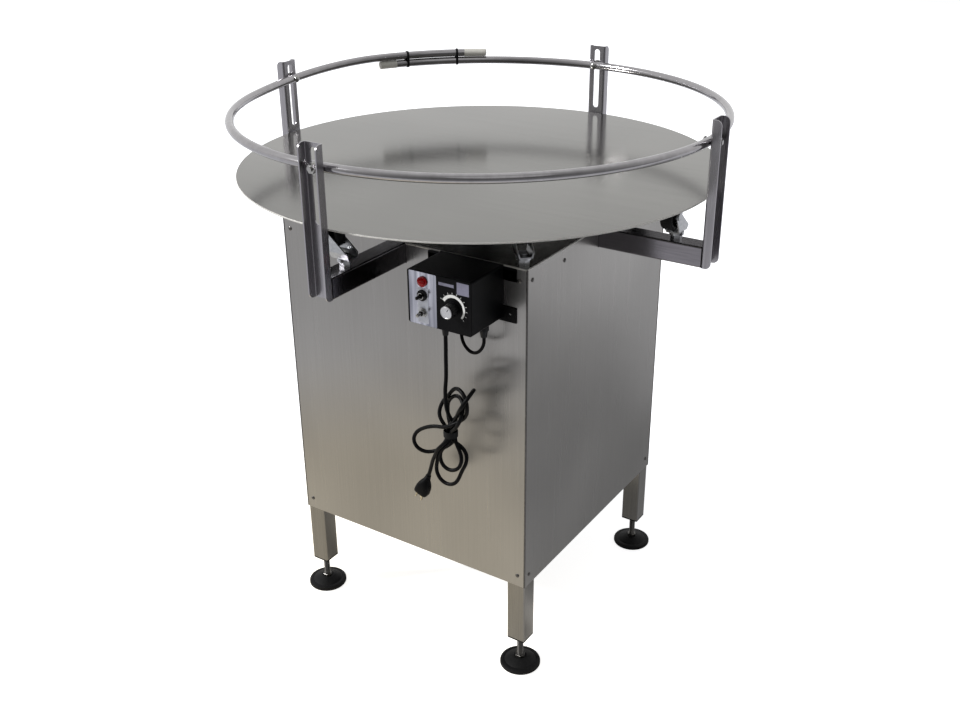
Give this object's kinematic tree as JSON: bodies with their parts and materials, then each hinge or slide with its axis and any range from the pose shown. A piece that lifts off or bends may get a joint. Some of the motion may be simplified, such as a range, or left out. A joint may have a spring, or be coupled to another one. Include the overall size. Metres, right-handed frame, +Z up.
{
  "type": "rotary accumulation table",
  "caption": "Square stainless cabinet on levelling feet with a powered round disc on casters, an adjustable round guide rail on slotted posts, and a control box with knob, switches and cord.",
  "frame": {"origin": "on the floor, under the axis of the disc", "axes": "+Z up along the disc's axis; -Y is the face with the control box; +X is the face on its right"},
  "size_m": [0.97, 0.97, 1.0654],
  "materials": {
    "stainless": "brushed number 4 finish",
    "rail_tube": "fine ground tube",
    "bright_steel": "bright",
    "zinc": "bright zinc plate",
    "drive_paint": "grey enamel",
    "black_paint": "satin black powder coat",
    "black_plastic": "moulded",
    "black_rubber": "moulded",
    "cord_jacket": "satin PVC jacket",
    "red_lens": "clear red",
    "white_plastic": "moulded"
  },
  "bodies": {
    "cabinet": {"corner_legs": "stainless", "leg_end_plugs": "black_plastic", "frame_rails": "stainless", "top_plate": "stainless", "front_panel": "stainless", "right_panel": "stainless", "rear_panel": "stainless", "left_panel": "stainless", "cabinet_screws": "bright_steel", "rail_arms": "stainless", "guide_posts": "stainless", "caster_stems": "zinc", "gearbox": "drive_paint", "motor": "drive_paint", "motor_bracket": "zinc", "spindle_bearing": "drive_paint", "control_housing": "black_paint", "control_bracket": "black_paint", "switch_plate": "bright_steel", "dial_plate": "black_paint", "pilot_lamp": "red_lens", "toggle_bushings": "zinc", "cable_glands": "black_plastic", "motor_cable": "cord_jacket", "power_cord": "cord_jacket", "cord_hank": "cord_jacket", "cord_side_loop": "cord_jacket", "cord_tail": "cord_jacket", "power_plug": "black_plastic"},
    "turntable": {"turntable_disc": "stainless", "drive_hub": "zinc", "spindle": "bright_steel", "hub_studs": "zinc"},
    "rail": {"guide_rail": "rail_tube", "rail_ties": "black_plastic", "rail_fasteners": "zinc", "rail_end_plugs": "white_plastic"},
    "knob": {"speed_knob": "black_plastic"},
    "power_lever": {"power_toggle": "black_plastic"},
    "direction_lever": {"direction_toggle": "zinc"},
    "foot_1": {"foot_1": "black_rubber"},
    "foot_2": {"foot_2": "black_rubber"},
    "foot_3": {"foot_3": "black_rubber"},
    "foot_4": {"foot_4": "black_rubber"},
    "caster_1": {"caster_fork_1": "zinc"},
    "wheel_1": {"caster_wheel_1": "black_rubber"},
    "caster_2": {"caster_fork_2": "zinc"},
    "wheel_2": {"caster_wheel_2": "black_rubber"},
    "caster_3": {"caster_fork_3": "zinc"},
    "wheel_3": {"caster_wheel_3": "black_rubber"},
    "caster_4": {"caster_fork_4": "zinc"},
    "wheel_4": {"caster_wheel_4": "black_rubber"},
    "caster_5": {"caster_fork_5": "zinc"},
    "wheel_5": {"caster_wheel_5": "black_rubber"},
    "caster_6": {"caster_fork_6": "zinc"},
    "wheel_6": {"caster_wheel_6": "black_rubber"},
    "caster_7": {"caster_fork_7": "zinc"},
    "wheel_7": {"caster_wheel_7": "black_rubber"},
    "caster_8": {"caster_fork_8": "zinc"},
    "wheel_8": {"caster_wheel_8": "black_rubber"}
  },
  "joints": [
    {"name": "turntable_spin", "type": "hinge", "parent": "cabinet", "child": "turntable", "pos_m": [0, 0, 0.9], "axis": [0, 0, 1], "continuous": true},
    {"name": "rail_height", "type": "slide", "parent": "cabinet", "child": "rail", "axis": [0, 0, 1], "range_m": [-0.088, 0.022]},
    {"name": "knob_turn", "type": "hinge", "parent": "cabinet", "child": "knob", "pos_m": [0.186, -0.367, 0.792], "axis": [0, -1, 0], "range_deg": [-150, 150]},
    {"name": "power_switch", "type": "hinge", "parent": "cabinet", "child": "power_lever", "pos_m": [0.1255, -0.3685, 0.803], "axis": [1, 0, 0], "range_deg": [-13, 13]},
    {"name": "direction_switch", "type": "hinge", "parent": "cabinet", "child": "direction_lever", "pos_m": [0.1255, -0.3685, 0.772], "axis": [1, 0, 0], "range_deg": [-13, 13]},
    {"name": "foot_1_level", "type": "slide", "parent": "cabinet", "child": "foot_1", "axis": [0, 0, -1], "range_m": [-0.03, 0.03]},
    {"name": "foot_2_level", "type": "slide", "parent": "cabinet", "child": "foot_2", "axis": [0, 0, -1], "range_m": [-0.03, 0.03]},
    {"name": "foot_3_level", "type": "slide", "parent": "cabinet", "child": "foot_3", "axis": [0, 0, -1], "range_m": [-0.03, 0.03]},
    {"name": "foot_4_level", "type": "slide", "parent": "cabinet", "child": "foot_4", "axis": [0, 0, -1], "range_m": [-0.03, 0.03]},
    {"name": "caster_1_swivel", "type": "hinge", "parent": "cabinet", "child": "caster_1", "pos_m": [0, -0.411, 0.844], "axis": [0, 0, 1], "continuous": true},
    {"name": "wheel_1_roll", "type": "hinge", "parent": "caster_1", "child": "wheel_1", "pos_m": [-0.028, -0.411, 0.8947], "axis": [0, -1, 0], "continuous": true},
    {"name": "caster_2_swivel", "type": "hinge", "parent": "cabinet", "child": "caster_2", "pos_m": [0.411, 0, 0.844], "axis": [0, 0, 1], "continuous": true},
    {"name": "wheel_2_roll", "type": "hinge", "parent": "caster_2", "child": "wheel_2", "pos_m": [0.411, -0.028, 0.8947], "axis": [1, 0, 0], "continuous": true},
    {"name": "caster_3_swivel", "type": "hinge", "parent": "cabinet", "child": "caster_3", "pos_m": [0, 0.411, 0.844], "axis": [0, 0, 1], "continuous": true},
    {"name": "wheel_3_roll", "type": "hinge", "parent": "caster_3", "child": "wheel_3", "pos_m": [0.028, 0.411, 0.8947], "axis": [0, 1, 0], "continuous": true},
    {"name": "caster_4_swivel", "type": "hinge", "parent": "cabinet", "child": "caster_4", "pos_m": [-0.411, 0, 0.844], "axis": [0, 0, 1], "continuous": true},
    {"name": "wheel_4_roll", "type": "hinge", "parent": "caster_4", "child": "wheel_4", "pos_m": [-0.411, 0.028, 0.8947], "axis": [-1, 0, 0], "continuous": true},
    {"name": "caster_5_swivel", "type": "hinge", "parent": "cabinet", "child": "caster_5", "pos_m": [0.24745, -0.24745, 0.844], "axis": [0, 0, 1], "continuous": true},
    {"name": "wheel_5_roll", "type": "hinge", "parent": "caster_5", "child": "wheel_5", "pos_m": [0.22765, -0.22765, 0.8947], "axis": [0.7071, 0.7071, 0], "continuous": true},
    {"name": "caster_6_swivel", "type": "hinge", "parent": "cabinet", "child": "caster_6", "pos_m": [0.24745, 0.24745, 0.844], "axis": [0, 0, 1], "continuous": true},
    {"name": "wheel_6_roll", "type": "hinge", "parent": "caster_6", "child": "wheel_6", "pos_m": [0.22765, 0.22765, 0.8947], "axis": [-0.7071, 0.7071, 0], "continuous": true},
    {"name": "caster_7_swivel", "type": "hinge", "parent": "cabinet", "child": "caster_7", "pos_m": [-0.24745, 0.24745, 0.844], "axis": [0, 0, 1], "continuous": true},
    {"name": "wheel_7_roll", "type": "hinge", "parent": "caster_7", "child": "wheel_7", "pos_m": [-0.22765, 0.22765, 0.8947], "axis": [-0.7071, -0.7071, 0], "continuous": true},
    {"name": "caster_8_swivel", "type": "hinge", "parent": "cabinet", "child": "caster_8", "pos_m": [-0.24745, -0.24745, 0.844], "axis": [0, 0, 1], "continuous": true},
    {"name": "wheel_8_roll", "type": "hinge", "parent": "caster_8", "child": "wheel_8", "pos_m": [-0.22765, -0.22765, 0.8947], "axis": [0.7071, -0.7071, 0], "continuous": true}
  ],
  "couplings": [
    {"joint": "wheel_1_roll", "follows": "turntable_spin", "ratio": -16.44},
    {"joint": "wheel_2_roll", "follows": "turntable_spin", "ratio": -16.44},
    {"joint": "wheel_3_roll", "follows": "turntable_spin", "ratio": -16.44},
    {"joint": "wheel_4_roll", "follows": "turntable_spin", "ratio": -16.44}
  ]
}
